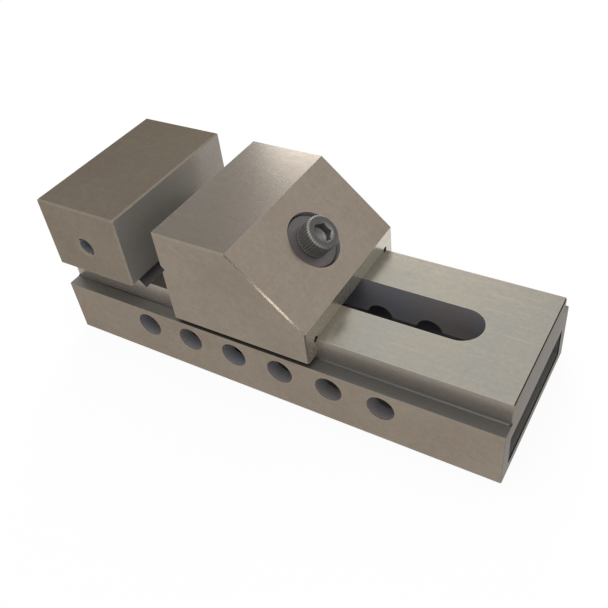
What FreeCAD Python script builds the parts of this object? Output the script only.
import FreeCAD
import Part
import math
import os

# Precision toolmaker's vise, drawn to its jaws by one inclined screw.
# Millimetres. +X runs along the rail, away from the fixed jaw, +Y across the jaws and +Z up.
# The origin is the middle of the underside. X sizes are first counted from the fixed end.

V = FreeCAD.Vector

# Body: base block, rail and fixed jaw are one ground piece of hardened steel
width = 50.0
length = 140.0
floor_thickness = 3.0
tunnel_height = 10.0
roof_thickness = 5.0          # from the tunnel's ceiling up to the step beside the rail
rail_height = 6.8             # from the step up to the rail's top
rail_inset = 4.6              # how far the rail's sides stand in from the body's sides
jaw_depth = 24.7              # from the rail's top to the top of both jaws
fixed_jaw_length = 28.9
clamp_groove_height = 8.6     # from the step up to the underside of the fixed jaw's overhang
root_radius = 0.8             # fillet where the rail's sides meet the step and the overhang
root_relief = 2.2             # half the diagonal of the grinding relief at the fixed jaw's foot
end_bevel = 0.3               # on the upright edges at both ends and the rail's far end
edge_bevel = 0.4              # on the other outside edges of both jaws
foot_bevel = 0.3              # round the underside

# Tunnel below the rail, open at the far end, and the six cross holes that notch its ceiling
wall_thickness = 4.25
tunnel_corner = 1.0
tunnel_end_space = 3.0        # from the first notch to the tunnel's blind end
notch_radius = 4.0
notch_drop = 0.8              # the notch centres lie this far under the ceiling
notch_count = 6
notch_pitch = 15.3
first_notch_offset = 2.0      # from the fixed jaw's face to the first notch's centre

# Slot through the rail for the screw
slot_width = 12.3
slot_end_wall = 15.0          # solid rail between the slot and the far end
slot_end_clearance = 1.2      # between the slot's near end and the screw with the jaws shut

# Tapped hole for a work stop in the fixed jaw's side
stop_hole_radius = 2.5        # core of an M6 thread
stop_hole_depth = 12.0
stop_hole_from_end = 14.1
stop_hole_above_rail = 11.5
stop_hole_bevel = 0.5

# Moving jaw
rest_opening = 13.4
jaw_length = 44.8
jaw_top_length = 23.6         # flat top, before the slope begins
heel_height = 5.3             # upright back face above the rail's top
skirt_gap = 1.6               # between the skirts' foot and the step
side_clearance = 0.03         # sliding fit on each side of the rail
seat_clearance = 0.02         # sliding fit on the rail's top
corner_relief_radius = 0.9    # drilled along the channel's inner corners
v_groove_width = 3.6
v_groove_depth = 1.5
v_groove_above_rail = 12.7

# Screw pocket, square to the slope and centred on it
pocket_radius = 8.3
pocket_depth = 1.0            # from the slope to the spherical seat's centre
passage_width = 7.4
passage_length = 12.0         # longer than wide, so that the screw can lean to the next notch

# Spherical washer
washer_clearance = 0.05
washer_height = 6.0
washer_bore_radius = 3.1
washer_bevel = 0.6

# M6 socket head screw
screw_radius = 3.0
head_radius = 5.0
head_height = 6.0
head_gap = 0.02
head_bevel = 0.5
socket_flats = 5.0
socket_depth = 3.0
socket_mouth = 0.25           # lead-in bevel round the hexagon
tip_past_bar = 1.8            # screw length beyond the bar's centre at rest
tip_bevel = 0.7

# Cross bar
bar_seat_clearance = 0.1      # between the bar and the notch that it seats in
bar_end_space = 0.75
bar_floor_gap = 0.15
bar_bevel = 0.8
thread_clearance = 0.05

# Levels and places that follow from the sizes above
half_width = width / 2
rail_half = half_width - rail_inset
ceiling = floor_thickness + tunnel_height
step_top = ceiling + roof_thickness
rail_top = step_top + rail_height
overhang_foot = step_top + clamp_groove_height
total_height = rail_top + jaw_depth
near_end = -length / 2
far_end = length / 2
fixed_face = near_end + fixed_jaw_length
moving_face = fixed_face + rest_opening
moving_back = moving_face + jaw_length
slope_start = moving_face + jaw_top_length
heel_top = rail_top + heel_height
tunnel_half = half_width - wall_thickness
notch_level = ceiling - notch_drop
notch_places = [fixed_face + first_notch_offset + i * notch_pitch for i in range(notch_count)]

# Screw axis: square to the slope, through its middle. along points out of the head
slope_run = moving_back - slope_start
slope_drop = total_height - heel_top
slope_length = math.hypot(slope_run, slope_drop)
along = V(slope_drop / slope_length, 0, slope_run / slope_length)
down_slope = V(slope_run / slope_length, 0, -slope_drop / slope_length)
across = V(0, 1, 0)
slope_middle = V((slope_start + moving_back) / 2, 0, (total_height + heel_top) / 2)
seat_centre = slope_middle - along * pocket_depth
bar_radius = notch_radius - bar_seat_clearance
bar_level = floor_thickness + bar_floor_gap + bar_radius
bar_distance = (seat_centre.z - bar_level) / along.z
bar_centre = seat_centre - along * bar_distance
screw_length = bar_distance + tip_past_bar


def axis_x(level):
    """X of the screw's axis at a height, with the moving jaw at rest."""
    return seat_centre.x - (seat_centre.z - level) * along.x / along.z


# The slot and the tunnel reach what the screw and the bar need with the jaws shut
slot_near = axis_x(ceiling) - rest_opening - screw_radius / along.z - slot_end_clearance
slot_far = far_end - slot_end_wall
bar_near_shut = bar_centre.x - rest_opening - bar_radius
tunnel_near = min(notch_places[0] - notch_radius, bar_near_shut) - tunnel_end_space

# Cutters run this far past the faces that they open
OVER = 5.0
SNAP = 1e-4


def block(x0, x1, y0, y1, z0, z1):
    """A box between two corners."""
    return Part.makeBox(x1 - x0, y1 - y0, z1 - z0, V(x0, y0, z0))


def plate(outline, thickness):
    """A closed outline of points, extruded by a vector."""
    wire = Part.makePolygon(outline + [outline[0]])
    return Part.Face(wire).extrude(thickness)


def turned(half_section, base, direction):
    """A solid of revolution from (radius, height) points, standing at base along direction."""
    outline = [V(r, 0, h) for r, h in half_section]
    face = Part.Face(Part.makePolygon(outline + [outline[0]]))
    solid = face.revolve(V(0, 0, 0), V(0, 0, 1), 360)
    solid.Placement = FreeCAD.Placement(base, FreeCAD.Rotation(V(0, 0, 1), direction))
    return solid


def rod(radius, start, direction, height):
    """A cylinder from a point along a direction."""
    return Part.makeCylinder(radius, height, start, direction)


def obround(centre, long_way, wide_way, total_length, total_width, depth):
    """A slot with round ends, its middle line centred on a point, extruded by depth."""
    radius = total_width / 2
    reach = long_way * (total_length / 2 - radius)
    side = wide_way * radius
    tip = long_way * (total_length / 2)
    corners = [centre - reach - side, centre + reach - side, centre + reach + side, centre - reach + side]
    edges = [
        Part.makeLine(corners[0], corners[1]),
        Part.Arc(corners[1], centre + tip, corners[2]).toShape(),
        Part.makeLine(corners[2], corners[3]),
        Part.Arc(corners[3], centre - tip, corners[0]).toShape(),
    ]
    return Part.Face(Part.Wire(edges)).extrude(depth)


def edges_along(shape, direction, keep):
    """Straight edges parallel to a direction whose middle point passes the test."""
    found = []
    for edge in shape.Edges:
        ends = [v.Point for v in edge.Vertexes]
        if len(ends) != 2:
            continue
        run = ends[1] - ends[0]
        if run.cross(direction).Length > SNAP * run.Length:
            continue
        if keep((ends[0] + ends[1]) * 0.5):
            found.append(edge)
    return found


def at(value, *levels):
    """True where a coordinate lies on one of the levels."""
    return any(abs(value - level) < SNAP for level in levels)


def base_block():
    """The lower block, bevelled round its foot and on its four upright edges."""
    solid = block(near_end, far_end, -half_width, half_width, 0, step_top)
    solid = solid.makeChamfer(end_bevel, edges_along(solid, V(0, 0, 1), lambda p: True))
    foot = [e for e in solid.Edges if at(e.BoundBox.ZMax, 0)]
    return solid.makeChamfer(foot_bevel, foot)


def rail():
    """The rail on the base block, bevelled at its far end."""
    solid = block(near_end, far_end, -rail_half, rail_half, ceiling, rail_top)
    upright = edges_along(solid, V(0, 0, 1), lambda p: at(p.x, far_end))
    top = edges_along(solid, V(0, 1, 0), lambda p: at(p.x, far_end) and at(p.z, rail_top))
    return solid.makeChamfer(end_bevel, upright + top)


def fixed_jaw():
    """The jaw block that overhangs the step on both sides, with its neck on the rail."""
    solid = block(near_end, fixed_face, -half_width, half_width, overhang_foot, total_height)
    ends = edges_along(solid, V(0, 0, 1), lambda p: at(p.x, near_end))
    solid = solid.makeChamfer(end_bevel, ends)
    rim = [e for e in solid.Edges if at(e.BoundBox.ZMin, total_height)]
    face_sides = edges_along(solid, V(0, 0, 1), lambda p: at(p.x, fixed_face))
    solid = solid.makeChamfer(edge_bevel, rim + face_sides)
    neck = block(near_end, fixed_face, -rail_half, rail_half, ceiling, overhang_foot + edge_bevel)
    return solid.fuse(neck)


def root_fillets(solid):
    """Fillets in the inner corners beside the rail, under the overhang too."""
    def is_root(p):
        return at(abs(p.y), rail_half) and at(p.z, step_top, overhang_foot)
    return solid.makeFillet(root_radius, edges_along(solid, V(1, 0, 0), is_root))


def face_relief():
    """Square relief, set on its corner, where the fixed jaw's face meets the rail."""
    start = V(fixed_face, -half_width - OVER, rail_top)
    outline = [
        start + V(-root_relief, 0, 0),
        start + V(0, 0, -root_relief),
        start + V(root_relief, 0, 0),
        start + V(0, 0, root_relief),
    ]
    return plate(outline, V(0, width + 2 * OVER, 0))


def tunnel():
    """The space under the rail that the cross bar travels in, open at the far end."""
    solid = block(tunnel_near, far_end + OVER, -tunnel_half, tunnel_half, floor_thickness, ceiling)
    return solid.makeFillet(tunnel_corner, edges_along(solid, V(1, 0, 0), lambda p: True))


def rail_slot():
    """The slot that lets the inclined screw pass through the rail along its whole travel."""
    middle = V((slot_near + slot_far) / 2, 0, ceiling - OVER / 2)
    upward = V(0, 0, rail_top - ceiling + OVER)
    return obround(middle, V(1, 0, 0), V(0, 1, 0), slot_far - slot_near, slot_width, upward)


def notches():
    """Holes drilled from side to side, whose upper halves notch the tunnel's ceiling."""
    return [rod(notch_radius, V(x, -half_width - OVER, notch_level), across, width + 2 * OVER)
            for x in notch_places]


def stop_hole():
    """Blind hole with a bevelled mouth and a drill point, in the fixed jaw's front side."""
    mouth = V(near_end + stop_hole_from_end, -half_width, rail_top + stop_hole_above_rail)
    wide = stop_hole_radius + stop_hole_bevel
    point = stop_hole_depth + stop_hole_radius / math.tan(math.radians(59))
    half_section = [(0, -OVER), (wide, -OVER), (wide, 0), (stop_hole_radius, stop_hole_bevel),
                    (stop_hole_radius, stop_hole_depth), (0, point)]
    return turned(half_section, mouth, across)


def vise_body():
    solid = base_block().fuse([rail(), fixed_jaw()]).removeSplitter()
    solid = root_fillets(solid)
    return solid.cut([face_relief(), tunnel(), rail_slot(), stop_hole()] + notches())


def jaw_blank():
    """The moving jaw's side outline across the whole width, bevelled round its outside."""
    foot = step_top + skirt_gap
    outline = [
        V(moving_face, -half_width, foot),
        V(moving_back, -half_width, foot),
        V(moving_back, -half_width, heel_top),
        V(slope_start, -half_width, total_height),
        V(moving_face, -half_width, total_height),
    ]
    solid = plate(outline, V(0, width, 0))
    sides = [e for e in solid.Edges
             if at(abs(e.BoundBox.YMin), half_width) and at(e.BoundBox.YMin, e.BoundBox.YMax)
             and not at(e.BoundBox.ZMax, foot)]
    return solid.makeChamfer(edge_bevel, sides)


def jaw_channel():
    """The channel that straddles the rail, with its two drilled corner reliefs."""
    side = rail_half + side_clearance
    top = rail_top + seat_clearance
    start = moving_face - OVER
    reach = jaw_length + 2 * OVER
    cutters = [block(start, start + reach, -side, side, 0, top)]
    for y in (-side, side):
        cutters.append(rod(corner_relief_radius, V(start, y, top), V(1, 0, 0), reach))
    return cutters


def face_groove():
    """Level V groove across the clamping face, for holding round work."""
    level = rail_top + v_groove_above_rail
    slope = v_groove_width / 2 / v_groove_depth
    wide = (v_groove_depth + OVER) * slope
    outline = [
        V(moving_face + v_groove_depth, -half_width - OVER, level),
        V(moving_face - OVER, -half_width - OVER, level - wide),
        V(moving_face - OVER, -half_width - OVER, level + wide),
    ]
    return plate(outline, V(0, width + 2 * OVER, 0))


def screw_pocket():
    """Round pocket square to the slope that ends in a spherical seat."""
    mouth = rod(pocket_radius, seat_centre, along, pocket_depth + OVER)
    bowl = Part.makeSphere(pocket_radius, seat_centre)
    return [mouth, bowl.common(rod(pocket_radius + OVER, seat_centre, along * -1, pocket_radius + OVER))]


def screw_passage():
    """Slotted way from the seat down to the channel, as long as the screw's lean needs."""
    below = (seat_centre.z - rail_top) / along.z + passage_length
    return obround(seat_centre, down_slope, across, passage_length, passage_width, along * -below)


def moving_jaw():
    cutters = jaw_channel() + screw_pocket() + [face_groove(), screw_passage()]
    return jaw_blank().cut(cutters)


def spherical_washer():
    """Hemispherical washer, flat under the screw's head, with a flat foot and a bore."""
    ball_radius = pocket_radius - washer_clearance
    ball = Part.makeSphere(ball_radius, seat_centre)
    rim = ball_radius - washer_bevel
    sleeve = turned([(0, -washer_height), (ball_radius, -washer_height), (ball_radius, -washer_bevel),
                     (rim, 0), (0, 0)], seat_centre, along)
    bore = rod(washer_bore_radius, seat_centre - along * (washer_height + OVER), along, washer_height + 2 * OVER)
    return ball.common(sleeve).cut(bore)


def hexagon(flats, centre, direction, depth):
    """A hexagonal prism measured across its flats."""
    corner = flats / math.sqrt(3)
    outline = [V(corner * math.cos(math.radians(60 * i)), corner * math.sin(math.radians(60 * i)), 0)
               for i in range(6)]
    solid = plate(outline, V(0, 0, depth))
    solid.Placement = FreeCAD.Placement(centre, FreeCAD.Rotation(V(0, 0, 1), direction))
    return solid


def clamp_screw():
    """Socket head screw, its thread as a plain cylinder of the thread's outer size."""
    under_head = seat_centre + along * head_gap
    half_section = [
        (0, -screw_length), (screw_radius - tip_bevel, -screw_length),
        (screw_radius, -screw_length + tip_bevel), (screw_radius, 0), (head_radius, 0),
        (head_radius, head_height - head_bevel), (head_radius - head_bevel, head_height), (0, head_height),
    ]
    solid = turned(half_section, under_head, along)
    face = under_head + along * head_height
    socket = hexagon(socket_flats, face - along * socket_depth, along, socket_depth + OVER)
    mouth = socket_flats / math.sqrt(3) + socket_mouth
    lead = turned([(0, -mouth), (mouth, 0), (0, 0)], face, along)
    flat = socket_flats / 2
    point = turned([(0, -socket_depth - flat / math.sqrt(3)), (flat, -socket_depth), (0, -socket_depth)],
                   face, along)
    return solid.cut([socket, lead, point])


def cross_bar():
    """Round bar across the tunnel, cross-tapped for the screw, which draws it into a notch."""
    half_length = tunnel_half - bar_end_space
    small = bar_radius - bar_bevel
    half_section = [
        (0, -half_length), (small, -half_length), (bar_radius, bar_bevel - half_length),
        (bar_radius, half_length - bar_bevel), (small, half_length), (0, half_length),
    ]
    solid = turned(half_section, bar_centre, across)
    reach = bar_radius + OVER
    tapped = rod(screw_radius + thread_clearance, bar_centre - along * reach, along, 2 * reach)
    return solid.cut(tapped)


parts = {
    "vise_body": vise_body(),
    "moving_jaw": moving_jaw(),
    "spherical_washer": spherical_washer(),
    "clamp_screw": clamp_screw(),
    "cross_bar": cross_bar(),
}

os.makedirs("parts", exist_ok=True)
for name, shape in parts.items():
    shape = shape.removeSplitter()
    if shape.ShapeType == "Compound" and len(shape.Solids) == 1:
        shape = shape.Solids[0]
    shape.exportStep("parts/" + name + ".step")
    box = shape.BoundBox
    print(name, "solids", len(shape.Solids), "valid", shape.isValid(), "volume", round(shape.Volume, 1),
          "x %.2f %.2f y %.2f %.2f z %.2f %.2f" % (box.XMin, box.XMax, box.YMin, box.YMax, box.ZMin, box.ZMax))

print("screw axis", [round(v, 5) for v in along], "seat centre", [round(v, 3) for v in seat_centre])
print("screw length", round(screw_length, 2), "bar centre", [round(v, 3) for v in bar_centre],
      "bar rises clear", round((tunnel_height - 2 * bar_radius - 2 * bar_floor_gap) / along.z, 2))
